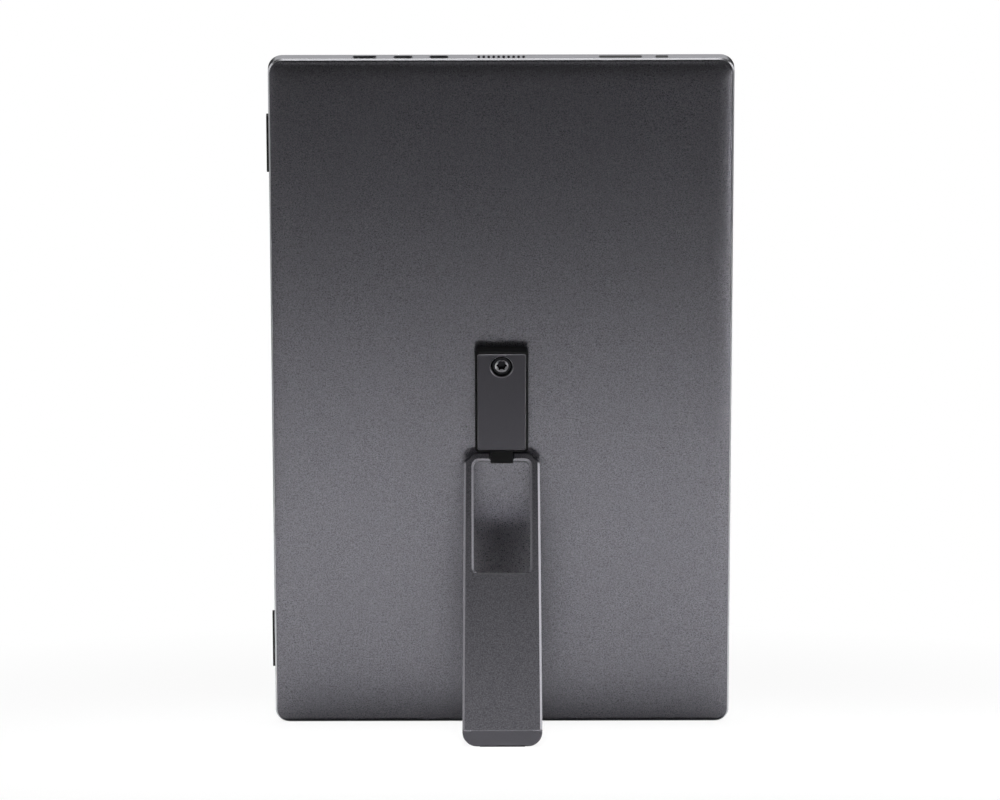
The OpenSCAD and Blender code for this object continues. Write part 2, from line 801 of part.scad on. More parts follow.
// Arc that leads from the sloping top corner of the leg into its side, on the right
function leg_corner(inset, turn) = [
    for (k = [0 : arc_steps]) let (a = turn * (1 - k / arc_steps), r = leg_corner_r - inset)
        [leg_top_w / 2 - leg_corner_r + r * cos(a),
            bar_up - corner_cut_z - leg_corner_r * tan(turn / 2) + r * sin(a)]
];

// Outline of the leg above its bend, drawn in by an amount
module leg_outline(inset) {
    turn = atan2(corner_cut_x, corner_cut_z);
    top_x = leg_top_w / 2 - corner_cut_x - inset * tan(45 - turn / 2);
    right = concat([[0, bar_up - inset], [top_x, bar_up - inset]], leg_corner(inset, turn),
        [[leg_foot_w / 2 - inset, -leg_run], [0, -leg_run]]);
    polygon(right);
    mirror([1, 0]) polygon(right);
}

// Window of the leg, drawn out by an amount
module leg_window(out) {
    translate([0, -bar_down - window_len - out])
        rounded(window_w + 2 * out, window_len + 2 * out, window_r + out, $fn = 32);
}

// Outline of the foot lip below the bend, drawn in by an amount
module lip_outline(inset) {
    half = leg_foot_w / 2 - inset;
    intersection() {
        translate([0, -lip_end + inset]) rounded(2 * half, lip_end + lip_r, lip_r, $fn = 32);
        translate([-half, -lip_end]) square([2 * half, lip_end]);
    }
}

module leg_plate() {
    bevel_depth = 0.9 * leg_bevel;
    face_y = -leg_t / 2;
    lip_bevel = leg_bevel / 2;
    color("#58585c") in_leg() difference() {
        union() {
            hull() {
                between(face_y + bevel_depth, -face_y) leg_outline(0);
                between(face_y, 0) leg_outline(leg_bevel);
            }
            hull() {
                span([-leg_foot_w / 2, face_y + bevel_depth, -leg_run],
                    [leg_foot_w / 2, -face_y, -leg_run + 0.01]);
                span([-leg_foot_w / 2 + leg_bevel, face_y, -leg_run],
                    [leg_foot_w / 2 - leg_bevel, 0, -leg_run + 0.01]);
                translate([0, 0, -leg_run]) rotate([leg_splay, 0, 0]) {
                    between(face_y + lip_bevel, -face_y) lip_outline(0);
                    between(face_y, 0) lip_outline(lip_bevel);
                }
            }
        }
        between(face_y - cut, -face_y + cut) leg_window(0);
        hull() {
            between(face_y - 0.01, face_y) leg_window(leg_bevel);
            between(face_y + bevel_depth, face_y + bevel_depth + 0.01) leg_window(0);
        }
        span([-arm_gap, face_y - cut, -bar_down - leg_t], [arm_gap, -face_y + cut, bar_up + cut]);
        hull() {
            span([-arm_gap - slot_bevel, face_y - 0.01, -bar_down - leg_t],
                [arm_gap + slot_bevel, face_y, bar_up + cut]);
            span([-arm_gap, face_y + slot_bevel, -bar_down - leg_t],
                [arm_gap, face_y + slot_bevel + 0.01, bar_up + cut]);
        }
        bar_x(pin_r + snug, -leg_top_w, leg_top_w);
        translate([0, 0, -leg_run]) rotate([leg_splay, 0, 0]) foot_pad_form(snug);
    }
}

// Rubber pad let into the end of the foot lip, in the lip's own frame
module foot_pad_form(grow) {
    span([-foot_pad_w / 2 - grow, -foot_pad_depth / 2 - grow, -lip_len - grow],
        [foot_pad_w / 2 + grow, foot_pad_depth / 2 + grow, -lip_len + foot_pad_t + grow]);
}

module foot_pad() {
    color("#1d1d1f") in_leg() translate([0, 0, -leg_run]) rotate([leg_splay, 0, 0]) foot_pad_form(0);
}

rear_cover();
side_frame();
cover_glass();
lcd_cell();
optical_films();
light_guide();
led_strip();
reflector_sheet();
panel_tray();
panel_driver_board();
panel_ribbon();
main_board();
board_chips();
shield_can();
board_screws();
video_socket_shell();
video_socket_tongue();
data_socket_shells();
data_socket_tongues();
speaker();
speaker_gasket();
button_bracket();
button_board();
button_switches();
button_ribbon();
rocker_pin();
rocker_button();
power_button();
rubber_strips();
stand_anchor();
stand_pad();
stand_block();
stand_face_plate();
stand_screw();
friction_washers();
hinge_pin();
leg_plate();
foot_pad();
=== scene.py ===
# %% [markdown]
# # A slim portable monitor on its folding stand
# The monitor stands on its short edge and leans back on one leg. Its construction comes from a
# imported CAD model. This script gives every piece its finish, remakes the rear cover as a smooth
# shell, and sets up a plain studio.

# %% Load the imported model
import json
import math

import bmesh
import bpy
from mathutils import Matrix, Vector


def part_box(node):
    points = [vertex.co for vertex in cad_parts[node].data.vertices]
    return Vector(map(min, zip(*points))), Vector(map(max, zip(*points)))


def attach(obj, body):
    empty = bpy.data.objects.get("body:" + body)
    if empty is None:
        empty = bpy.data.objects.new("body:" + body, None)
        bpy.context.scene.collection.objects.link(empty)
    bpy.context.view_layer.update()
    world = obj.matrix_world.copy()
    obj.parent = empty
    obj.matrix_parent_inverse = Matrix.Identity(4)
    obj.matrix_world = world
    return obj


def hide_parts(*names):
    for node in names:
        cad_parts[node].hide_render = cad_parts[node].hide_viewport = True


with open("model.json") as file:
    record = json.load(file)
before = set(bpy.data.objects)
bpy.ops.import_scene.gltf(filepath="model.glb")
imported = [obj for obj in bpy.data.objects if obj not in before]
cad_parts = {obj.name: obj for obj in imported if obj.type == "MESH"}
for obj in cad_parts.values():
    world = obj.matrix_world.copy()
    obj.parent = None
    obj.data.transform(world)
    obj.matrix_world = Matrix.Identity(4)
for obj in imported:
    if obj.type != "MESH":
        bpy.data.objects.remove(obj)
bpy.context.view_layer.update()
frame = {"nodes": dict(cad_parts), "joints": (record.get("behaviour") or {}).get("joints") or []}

MM = 0.001
scene = bpy.context.scene
nodes = frame["nodes"]
joints = {joint["name"]: joint for joint in frame["joints"]}

# %% [markdown]
# ## The monitor's own frame
# The monitor leans back, so its width, its depth and its height aren't the room's axes. It is
# easiest to model a slanted thing upright and then to lay it in place with one matrix. The lean
# is read from the direction in which the power button slides. The monitor stands on the line
# where its lower wall meets the back chamfer, and its side frame reaches furthest at the lower
# front corner and the upper back one, so the frame's box gives that line and the height.

# %% Matrix from the upright monitor to its place
FRAME_DEPTH = 6.0 * MM
EDGE_CHAMFER = 0.66 * MM
FRONT_CHAMFER = 0.6 * MM

slide = joints["power_press"]["axis"]
lean = math.atan2(slide[1], -slide[2])
frame_low, frame_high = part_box("side_frame")
MONITOR_W = frame_high.x - frame_low.x
stands_at = (frame_high.y - (FRAME_DEPTH - EDGE_CHAMFER) * math.cos(lean)
             + FRONT_CHAMFER * math.sin(lean))
MONITOR_H = (stands_at - frame_low.y - EDGE_CHAMFER * math.cos(lean)) / math.sin(lean) + EDGE_CHAMFER
to_place = (Matrix.Translation((0, stands_at, 0)) @ Matrix.Rotation(lean, 4, "X")
            @ Matrix.Translation((0, -EDGE_CHAMFER, 0)))
print("lean", round(math.degrees(lean), 2), "size", round(MONITOR_W, 4), round(MONITOR_H, 4))

# %% [markdown]
# ## Camera
# The photograph fits a long lens at nearly five metres, practically straight behind the monitor
# and a little above the middle of its back. A long lens keeps the sides of the leaning back
# nearly parallel. The roll of a tenth of a degree is the small tilt of the photograph itself.

# %% Camera
AZIMUTH = math.radians(0.056)
ELEVATION = math.radians(5.77)
ROLL = math.radians(0.109)
DISTANCE = 4.691
LENS_MM = 340.7
SENSOR_MM = 36
FAR_CLIP = 50
AIM = Vector((-0.00076, 0.05527, 0.16046))

look = Vector((math.sin(AZIMUTH) * math.cos(ELEVATION), math.cos(AZIMUTH) * math.cos(ELEVATION),
               -math.sin(ELEVATION)))
level_right = Vector((math.cos(AZIMUTH), -math.sin(AZIMUTH), 0))
level_up = level_right.cross(look)
right = level_right * math.cos(ROLL) - level_up * math.sin(ROLL)
up = level_right * math.sin(ROLL) + level_up * math.cos(ROLL)
camera = bpy.data.objects.new("camera", bpy.data.cameras.new("camera"))
scene.collection.objects.link(camera)
camera.data.lens = LENS_MM
camera.data.sensor_width = SENSOR_MM
camera.data.clip_end = FAR_CLIP
facing = Matrix((right, up, -look)).transposed().to_4x4()
camera.matrix_world = Matrix.Translation(AIM - look * DISTANCE) @ facing
scene.camera = camera
print("camera at", [round(v, 3) for v in camera.location])

# %% [markdown]
# ## Colours and nodes
# Colours are written as they are read off a screen, in sRGB, and one function turns them into
# the linear values that light adds up in. A second one adds a shader node with its settings
# and its links, so that each material reads as a short list of what it is made of. A Mix node
# for colours keeps its result in its third output.

# %% Colours and nodes
COLOURS = {"data_type": "RGBA", "out": 2}


def linear(code, share=1.0):
    """Linear colour of an sRGB hex code, or a share of it that is darker or paler."""
    parts = [int(code[i:i + 2], 16) / 255 for i in (1, 3, 5)]
    return (*[share * (p / 12.92 if p <= 0.04045 else ((p + 0.055) / 1.055) ** 2.4) for p in parts], 1)


def add(tree, kind, sockets, out=0, **settings):
    """Adds a node and returns one output. A socket takes a number, a colour or an output."""
    node = tree.nodes.new("ShaderNode" + kind)
    for name, value in settings.items():
        setattr(node, name, value)
    for name, value in sockets.items():
        if isinstance(value, bpy.types.NodeSocket):
            tree.links.new(value, node.inputs[name])
        else:
            node.inputs[name].default_value = value
    return node.outputs[out] if len(node.outputs) else None


print("mid grey is", round(linear("#808080")[0], 3), "linear")

# %% [markdown]
# ## Materials on pieces
# Every material of the object is one principled shader with its own few nodes in front. A CAD
# node keeps its mesh and takes a material in its slots. Where a pattern follows the monitor and
# not the room, a Mapping node turns the room's coordinates upright, the other way round than the
# matrix above.

# %% Materials on pieces
def new_material(name):
    """An empty material and its node tree."""
    material = bpy.data.materials.new(name)
    material.use_nodes = True
    material.node_tree.nodes.clear()
    return material, material.node_tree


def surface(tree, **sockets):
    """The principled shader and the output."""
    named = {name.replace("_", " "): value for name, value in sockets.items()}
    add(tree, "OutputMaterial", {"Surface": add(tree, "BsdfPrincipled", named)})


def place_on(material, *names):
    """Gives CAD nodes their material."""
    for name in names:
        slots = nodes[name].data.materials
        slots.clear()
        slots.append(material)
    print(material.name, "on", *names)


def upright(tree):
    """Coordinates in the monitor's own frame."""
    return add(tree, "Mapping", {"Vector": add(tree, "TexCoord", {}, "Object"), "Rotation": (-lean, 0, 0),
                                 "Location": to_place.inverted().translation})


# %% [markdown]
# ## Blasted, anodised aluminium
# The rear cover is aluminium, blasted with fine beads and anodised dark grey. Blasting leaves
# pits of about a tenth of a millimetre, which spread a reflection evenly, and the eye sees a
# satin grey with a fine grain. The pits are too small to show at this distance, so the grain is
# drawn about half a millimetre wide. A second noise of two centimetres calms the grain here and
# there, as blasting by hand does.

# %% Blasted aluminium
COVER_GREY = "#68676C"
BLAST_GRAIN = 0.55 * MM
CALM_PATCH = 22 * MM
BLAST_DEPTH = 0.03 * MM

cover_metal, tree = new_material("blasted_aluminium_cover")
where = add(tree, "TexCoord", {}, "Object")
grain = add(tree, "TexNoise", {"Vector": where, "Scale": 1 / BLAST_GRAIN})
patches = add(tree, "TexNoise", {"Vector": where, "Scale": 1 / CALM_PATCH})
pits = add(tree, "MapRange", {"Value": grain, "From Min": 0.35, "From Max": 0.65})
tone = add(tree, "Mix", {0: pits, 6: linear(COVER_GREY, 0.66), 7: linear(COVER_GREY, 1.34)}, **COLOURS)
calm = add(tree, "MapRange", {"Value": patches, "From Min": 0.3, "From Max": 0.7, "To Max": 0.3})
tone = add(tree, "Mix", {0: calm, 6: tone, 7: linear(COVER_GREY)}, **COLOURS)
rough = add(tree, "MapRange", {"Value": grain, "From Min": 0.3, "From Max": 0.7,
                               "To Min": 0.26, "To Max": 0.34})
bump = add(tree, "Bump", {"Height": grain, "Strength": 0.25, "Distance": BLAST_DEPTH})
surface(tree, Base_Color=tone, Metallic=1.0, Roughness=rough, Normal=bump)
print(cover_metal.name, "has", len(tree.nodes), "nodes")

# %% [markdown]
# ## Rear cover
# The rear cover is a pressed sheet: flat in the middle, with a soft curve ten millimetres wide
# that falls to the rim. The CAD shell has this curve in a few flat steps, which catch the
# light one by one, so the cover is made again with many. A bevel would eat the small corner
# radius, so the outline is extruded ring by ring instead, and each quarter of a new ring is
# moved inwards as it is, so that the corners keep their radius.

# %% Outline and rings
CORNER_STEPS = 16


def outline_face(mesh, width, height, radius, y, centre_z):
    """A rounded rectangle that faces -y, made from one grid face by bevelling its corners."""
    flat = Matrix.Translation((0, y, centre_z)) @ Matrix.Rotation(math.pi / 2, 4, "X")
    made = bmesh.ops.create_grid(mesh, x_segments=1, y_segments=1, size=0.5,
                                 matrix=flat @ Matrix.Diagonal((width, height, 1, 1)))
    bmesh.ops.bevel(mesh, geom=made["verts"], offset=radius, offset_type="OFFSET", segments=CORNER_STEPS,
                    profile=0.5, affect="VERTICES", material=-1)
    return max(mesh.faces, key=lambda face: face.calc_area())


def draw_in(mesh, face, inwards, outwards_y, centre_z):
    """Extrudes a face and moves each quarter of it inwards, so its corners keep their radius."""
    new = bmesh.ops.extrude_discrete_faces(mesh, faces=[face])["faces"][0]
    for side in (-1, 1):
        for end in (-1, 1):
            corner = [v for v in new.verts if v.co.x * side > 0 and (v.co.z - centre_z) * end > 0]
            bmesh.ops.translate(mesh, verts=corner, vec=(-side * inwards, outwards_y, -end * inwards))
    return new


# %% [markdown]
# The curve is part of an ellipse that starts with a slope of about thirty degrees at the rim, as
# a shallow pressing does: a steeper rim would shine along the top. It starts from a short
# straight wall, which sits in the side frame with a narrow gap all round.

# %% The pressed shell
RIM_WALL = 0.8 * MM
COVER_GAP = 0.25 * MM
RIM_DEPTH = 0.7 * MM
DOME = 1.6 * MM
DOME_BAND = 10 * MM
CORNER_R = 7 * MM
CURVE_STEPS = 14
CURVE_START = math.radians(20)

inset = RIM_WALL + COVER_GAP
middle = MONITOR_H / 2
shell = bmesh.new()
face = outline_face(shell, MONITOR_W - 2 * inset, MONITOR_H - 2 * inset, CORNER_R - inset, RIM_DEPTH, middle)
face = draw_in(shell, face, 0, -RIM_DEPTH, middle)
across = DOME_BAND / math.cos(CURVE_START)
rise = DOME / (1 - math.sin(CURVE_START))
for step in range(CURVE_STEPS):
    a, b = (CURVE_START + (math.pi / 2 - CURVE_START) * k / CURVE_STEPS for k in (step, step + 1))
    inwards = across * (math.cos(a) - math.cos(b))
    face = draw_in(shell, face, inwards, rise * (math.sin(a) - math.sin(b)), middle)
print("shell", len(shell.faces), "faces")

# %% [markdown]
# The shell is laid in its place inside its mesh, so that its object can stay at the origin. It is
# shaded smooth, apart from its sharp rim, and a Solidify modifier gives the sheet its thickness,
# inwards. Then it rides on the monitor's body and stands for the CAD node.

# %% The cover in its place
COVER_T = 1.0 * MM
SHARP_FROM = math.radians(30)

bmesh.ops.transform(shell, matrix=to_place, verts=shell.verts)
bmesh.ops.recalc_face_normals(shell, faces=shell.faces)
cover_mesh = bpy.data.meshes.new("rear_cover_shell")
shell.to_mesh(cover_mesh)
shell.free()
cover_mesh.materials.append(cover_metal)
cover_mesh.shade_smooth()
cover_mesh.set_sharp_from_angle(angle=SHARP_FROM)
rear_cover = bpy.data.objects.new("rear_cover_shell", cover_mesh)
scene.collection.objects.link(rear_cover)
sheet = rear_cover.modifiers.new("sheet", "SOLIDIFY")
sheet.thickness = COVER_T
sheet.offset = -1
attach(rear_cover, "monitor")
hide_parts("rear_cover")
print(rear_cover.name, len(cover_mesh.polygons), "faces")

# %% [markdown]
# ## Side frame
# The side frame is anodised aluminium too, a little lighter than the cover. Along its back rim a
# cutter has taken off the anodised skin, which leaves a narrow bright chamfer. Both finishes are
# on one piece, so the material finds the chamfer by its depth behind the rim, a hair short of
# its full depth, so that the wall behind it stays grey.

# %% Side frame
FINE_GRAIN = 0.4 * MM
FINE_DEPTH = 0.01 * MM
CUT_DEPTH = 0.98 * EDGE_CHAMFER

material, tree = new_material("anodised_frame_with_cut_chamfer")
local = upright(tree)
behind = add(tree, "SeparateXYZ", {"Vector": local}, "Y")
grain = add(tree, "TexNoise", {"Vector": local, "Scale": 1 / FINE_GRAIN})
in_cut = add(tree, "Math", {0: behind, 1: CUT_DEPTH}, operation="LESS_THAN")
skin = add(tree, "Mix", {0: grain, 6: linear("#5C5C60"), 7: linear("#68686C")}, **COLOURS)
tone = add(tree, "Mix", {0: in_cut, 6: skin, 7: linear("#C4C4C8")}, **COLOURS)
rough = add(tree, "MapRange", {"Value": in_cut, "To Min": 0.3, "To Max": 0.22})
bump = add(tree, "Bump", {"Height": grain, "Strength": 0.15, "Distance": FINE_DEPTH})
surface(tree, Base_Color=tone, Metallic=1.0, Roughness=rough, Normal=bump)
place_on(material, "side_frame")

# %% [markdown]
# ## Leg
# The leg is one thick aluminium plate, blasted and anodised like the cover. Its bevels are cut
# afterwards and stay paler and smoother. Their shapes come from the CAD model, so only the
# finish is added. The material measures how deep a point lies below the leg's face, in the
# leg's own frame, and everything in the first millimetre is bevel. The foot's lip is bent
# upright, so below the bend the depth is measured along the room's own axis.

# %% Where the leg's cut edges are
LEG_SPLAY = math.radians(17)
LEG_T = 3.6 * MM
BEVEL_DEPTH = 0.99 * MM
LIP_LEN = 8 * MM
LIP_BEVEL = 0.55 * MM
LIP_MARGIN = 0.5 * MM
SKIN_GAP = 0.03 * MM

hinge_at = Vector(joints["leg_hinge"]["pos_m"])
leg_to_place = Matrix.Translation(hinge_at) @ Matrix.Rotation(-LEG_SPLAY, 4, "X")
face_y = -LEG_T / 2
lip_face_y = hinge_at.y - (hinge_at.z - LIP_LEN) * math.tan(LEG_SPLAY) - LEG_T / 2


def within(tree, value, low, high):
    """1 between two values, else 0."""
    above = add(tree, "Math", {0: value, 1: low}, operation="GREATER_THAN")
    below = add(tree, "Math", {0: value, 1: high}, operation="LESS_THAN")
    return add(tree, "Math", {0: above, 1: below}, operation="MULTIPLY")


leg_metal, tree = new_material("blasted_leg_with_cut_bevels")
where = add(tree, "TexCoord", {}, "Object")
room_x, room_y, room_z = (add(tree, "SeparateXYZ", {"Vector": where}, axis) for axis in "XYZ")
in_leg = add(tree, "Mapping", {"Vector": where, "Rotation": (LEG_SPLAY, 0, 0),
                               "Location": leg_to_place.inverted().translation})
leg_y, leg_z = (add(tree, "SeparateXYZ", {"Vector": in_leg}, axis) for axis in "YZ")
on_leg = within(tree, leg_y, face_y + SKIN_GAP, face_y + BEVEL_DEPTH)
on_lip = within(tree, room_y, lip_face_y + SKIN_GAP, lip_face_y + LIP_BEVEL)
is_lip = add(tree, "Math", {0: room_z, 1: LIP_LEN - LIP_MARGIN}, operation="LESS_THAN")
cut = add(tree, "Mix", {0: is_lip, 2: on_leg, 3: on_lip})
print("leg's face at", round(face_y / MM, 2), "mm, lip's at", round(lip_face_y / MM, 2), "mm")

# %% [markdown]
# Three tones were matched to the photograph. The bevel beside the window takes only about a third
# of the cut finish, a painted shade that keeps it weaker than the outer one. The window's sill is
# painted paler, a painted highlight, and the lip below the bend is painted darker than the leg, a
# painted shade of its steeper face.

# %% The leg's finish
LEG_GREY = "#605F64"
WINDOW_HALF_W = 13.8 * MM
WINDOW_BEVEL = 1.3 * MM
WINDOW_SHADED_CUT = 0.35
SILL = -58.4 * MM
SILL_MARGIN = 0.1 * MM
BEND_BLEND = 0.2 * MM

from_middle = add(tree, "Math", {0: room_x}, operation="ABSOLUTE")
in_window = add(tree, "Math", {0: from_middle, 1: WINDOW_HALF_W + WINDOW_BEVEL}, operation="LESS_THAN")
sill_height = within(tree, leg_z, SILL - WINDOW_BEVEL, SILL + SILL_MARGIN)
sill_highlight = add(tree, "Math", {0: sill_height, 1: in_window}, operation="MULTIPLY")
# Painted shade: the bevel beside the window, but not the sill, takes only a third of the pale cut finish.
window_bevel_shade = add(tree, "Math", {0: in_window, 1: sill_highlight}, operation="SUBTRACT")
strength = add(tree, "MapRange", {"Value": window_bevel_shade, "To Min": 1.0, "To Max": WINDOW_SHADED_CUT})
cut = add(tree, "Math", {0: cut, 1: strength}, operation="MULTIPLY")
grain = add(tree, "TexNoise", {"Vector": where, "Scale": 1 / BLAST_GRAIN})
pits = add(tree, "MapRange", {"Value": grain, "From Min": 0.35, "From Max": 0.65})
tone = add(tree, "Mix", {0: pits, 6: linear(LEG_GREY, 0.7), 7: linear(LEG_GREY, 1.3)}, **COLOURS)
# Painted highlight: the sill's bevel takes a paler tone than the other cut bevels.
cut_tone_and_sill_highlight = add(tree, "Mix", {0: sill_highlight, 6: linear("#858489"), 7: linear("#AEADB2")}, **COLOURS)
tone = add(tree, "Mix", {0: cut, 6: tone, 7: cut_tone_and_sill_highlight}, **COLOURS)
# Painted shade: below the bend the lip takes a darker grey than the leg.
below_bend = add(tree, "MapRange", {"Value": room_z, "From Min": LIP_LEN, "From Max": LIP_LEN - BEND_BLEND})
lip_painted_shade = add(tree, "Mix", {0: grain, 6: linear("#48474B"), 7: linear("#515055")}, **COLOURS)
tone = add(tree, "Mix", {0: below_bend, 6: tone, 7: lip_painted_shade}, **COLOURS)
rough = add(tree, "MapRange", {"Value": cut, "To Min": 0.3, "To Max": 0.24})
bump = add(tree, "Bump", {"Height": grain, "Strength": 0.25, "Distance": BLAST_DEPTH})
surface(tree, Base_Color=tone, Metallic=1.0, Roughness=rough, Normal=bump)
place_on(leg_metal, "leg_plate")

# %% [markdown]
# ## Face plate of the stand
# The thin plate let into the stand's block is blasted aluminium too, and darker. It was dropped
# in after its edges had been chamfered bright, so a pale hairline runs round it and round its
# screw hole. The chamfer is the only part of the plate that lies just behind its face, and it is
# found by that depth, in the monitor's own frame.

# %% Face plate of the stand
PLATE_CHAMFER = 0.4 * MM
PLATE_SKIN = 0.02 * MM

plate_face = min((to_place.inverted() @ v.co).y for v in nodes["stand_face_plate"].data.vertices)
material, tree = new_material("blasted_plate_with_bright_edge")
local = upright(tree)
behind = add(tree, "SeparateXYZ", {"Vector": local}, "Y")
in_cut = within(tree, behind, plate_face + PLATE_SKIN, plate_face + PLATE_CHAMFER)
grain = add(tree, "TexNoise", {"Vector": local, "Scale": 1 / FINE_GRAIN})
skin = add(tree, "Mix", {0: grain, 6: linear("#3E3D41"), 7: linear("#454448")}, **COLOURS)
tone = add(tree, "Mix", {0: in_cut, 6: skin, 7: linear("#8A898E")}, **COLOURS)
bump = add(tree, "Bump", {"Height": grain, "Strength": 0.2, "Distance": FINE_DEPTH})
surface(tree, Base_Color=tone, Metallic=1.0, Roughness=0.3, Normal=bump)
place_on(material, "stand_face_plate")
print("plate's face at", round(plate_face / MM, 2), "mm")

# %% [markdown]
# ## Plastics and rubber
# The block is moulded in black glass-filled nylon, whose surface is satin with a fine texture
# from the mould, and the button caps are black ABS. Both are nearly without gloss, so they look
# black beside the metal. The strips, the pads and the foot are rubber, which is duller still.
# The speaker's case, the bracket of the buttons and the tongues of the sockets are black plastic
# too. Inside are chips in black epoxy resin, white films, amber ribbon cables and the pale
# coating of the light strip. All of them are one shader that differs in its colour, its gloss
# and the width of its grain, so one function makes them.

# %% Moulded plastic and rubber
MOULD_DEPTH = 0.02 * MM


def moulded(name, colour, roughness, grain_mm, shine=0.5):
    """A plastic or rubber part with the fine texture of its mould."""
    material, tree = new_material(name)
    where = add(tree, "TexCoord", {}, "Object")
    grain = add(tree, "TexNoise", {"Vector": where, "Scale": 1 / (grain_mm * MM), "Detail": 3})
    tone = add(tree, "Mix", {0: grain, 6: linear(colour, 0.85), 7: linear(colour, 1.15)}, **COLOURS)
    rough = add(tree, "MapRange", {"Value": grain, "From Min": 0.3, "From Max": 0.7,
                                   "To Min": roughness - 0.05, "To Max": roughness + 0.05})
    bump = add(tree, "Bump", {"Height": grain, "Strength": 0.3, "Distance": MOULD_DEPTH})
    surface(tree, Base_Color=tone, Roughness=rough, Specular_IOR_Level=shine, Normal=bump)
    return material


place_on(moulded("black_nylon_block", "#0C0C0D", 0.4, 0.4, shine=0.1), "stand_block")
place_on(moulded("black_abs_buttons", "#101011", 0.45, 0.3, shine=0.15), "rocker_button", "power_button")
place_on(moulded("black_abs_inside", "#1A1A1B", 0.5, 0.4), "speaker", "button_bracket",
         "video_socket_tongue", "data_socket_tongues")
place_on(moulded("black_rubber", "#161617", 0.75, 0.5), "rubber_strips", "stand_pad", "foot_pad",
         "speaker_gasket")
place_on(moulded("black_chip_resin", "#202022", 0.55, 0.3), "board_chips")
place_on(moulded("white_film", "#ECECE8", 0.5, 1.0), "optical_films", "reflector_sheet")
place_on(moulded("amber_ribbon_film", "#B9772B", 0.35, 0.8), "panel_ribbon", "button_ribbon")
place_on(moulded("pale_light_strip", "#EADFA6", 0.45, 1.5), "led_strip")

# %% [markdown]
# ## Steel parts
# The sockets and the shield are stamped from tinned steel sheet, with the faint lines of rolling
# along them, and the tray behind the panel is zinc plated. The pins, the small screws and the
# stand's threaded anchor are turned and stay bright. The friction washers are dark spring steel.
# The lines are a fine noise that is stretched along the monitor's height. The metals differ only
# in colour and gloss, so one function makes them all.

# %% Rolled and turned metals
LINE_W = 0.3 * MM
LINE_STRETCH = 12


def rolled_metal(name, colour, roughness):
    """A metal with fine lines along the monitor's height."""
    material, tree = new_material(name)
    stretched = add(tree, "Mapping", {"Vector": upright(tree), "Scale": (1, 1, 1 / LINE_STRETCH)})
    grain = add(tree, "TexNoise", {"Vector": stretched, "Scale": 1 / LINE_W})
    tone = add(tree, "Mix", {0: grain, 6: linear(colour, 0.88), 7: linear(colour, 1.1)}, **COLOURS)
    rough = add(tree, "MapRange", {"Value": grain, "From Min": 0.3, "From Max": 0.7,
                                   "To Min": roughness - 0.05, "To Max": roughness + 0.05})
    surface(tree, Base_Color=tone, Metallic=1.0, Roughness=rough)
    return material


place_on(rolled_metal("tinned_steel_sheet", "#BDBEC0", 0.3), "video_socket_shell", "data_socket_shells",
         "shield_can", "button_switches")
place_on(rolled_metal("zinc_plated_sheet", "#A8AAAC", 0.38), "panel_tray")
place_on(rolled_metal("turned_steel", "#9B9CA0", 0.32), "hinge_pin", "rocker_pin", "board_screws",
         "stand_anchor")
place_on(rolled_metal("blackened_spring_steel", "#3A3A3D", 0.26), "friction_washers")

# %% [markdown]
# ## Stand screw
# The stand's screw is blackened steel. Its slanting edges, the chamfer of its head and the mouth of
# its star socket, are painted pale steel as a painted highlight. Those are the
# only faces that lie askew to the screw's axis, so the material finds them by their normal.

# %% Stand screw
SCREW_GRAIN = 0.2 * MM
LEAST_ASKEW = 0.25
MOST_ASKEW = 0.93

material, tree = new_material("blackened_screw_with_painted_highlight_edges")
axis = to_place.to_3x3() @ Vector((0, 1, 0))
normal = add(tree, "TexCoord", {}, "Normal")
along = add(tree, "VectorMath", {0: normal, 1: axis}, "Value", operation="DOT_PRODUCT")
either_way = add(tree, "Math", {0: along}, operation="ABSOLUTE")
askew = within(tree, either_way, LEAST_ASKEW, MOST_ASKEW)
grain = add(tree, "TexNoise", {"Vector": upright(tree), "Scale": 1 / SCREW_GRAIN})
skin = add(tree, "Mix", {0: grain, 6: linear("#1B1B1D"), 7: linear("#262628")}, **COLOURS)
# Painted highlight: the slanting faces take pale steel instead of the black skin.
tone = add(tree, "Mix", {0: askew, 6: skin, 7: linear("#8C8B8F")}, **COLOURS)
surface(tree, Base_Color=tone, Metallic=1.0, Roughness=0.26)
place_on(material, "stand_screw")

# %% [markdown]
# ## Circuit boards
# The boards are glass fibre under a green solder mask. The copper tracks below it show as
# slightly lighter lines, two millimetres apart. A brick pattern draws such lines at its joints,
# and its bricks are half as wide as its unit.

# %% Circuit boards
TRACK_STEP = 2 * MM

material, tree = new_material("green_solder_mask")
tracks = add(tree, "TexBrick", {"Vector": upright(tree), "Scale": 0.5 / TRACK_STEP, "Mortar Size": 0.05,
                                "Color1": linear("#175C34"), "Color2": linear("#1B6439"),
                                "Mortar": linear("#2B7A4B")}, "Color")
surface(tree, Base_Color=tracks, Roughness=0.35)
place_on(material, "main_board", "panel_driver_board", "button_board")

# %% [markdown]
# ## Screen
# The front is one sheet of glass with a black border printed on its back, wider on one side. The
# screen behind it is nearly as black when it is off, only a little bluer. The border is found
# from the sheet's four sides, each with a line a tenth of a millimetre soft.

# %% Cover glass
BORDER = 5 * MM
CHIN = 12 * MM
SOFT_LINE = 0.1 * MM

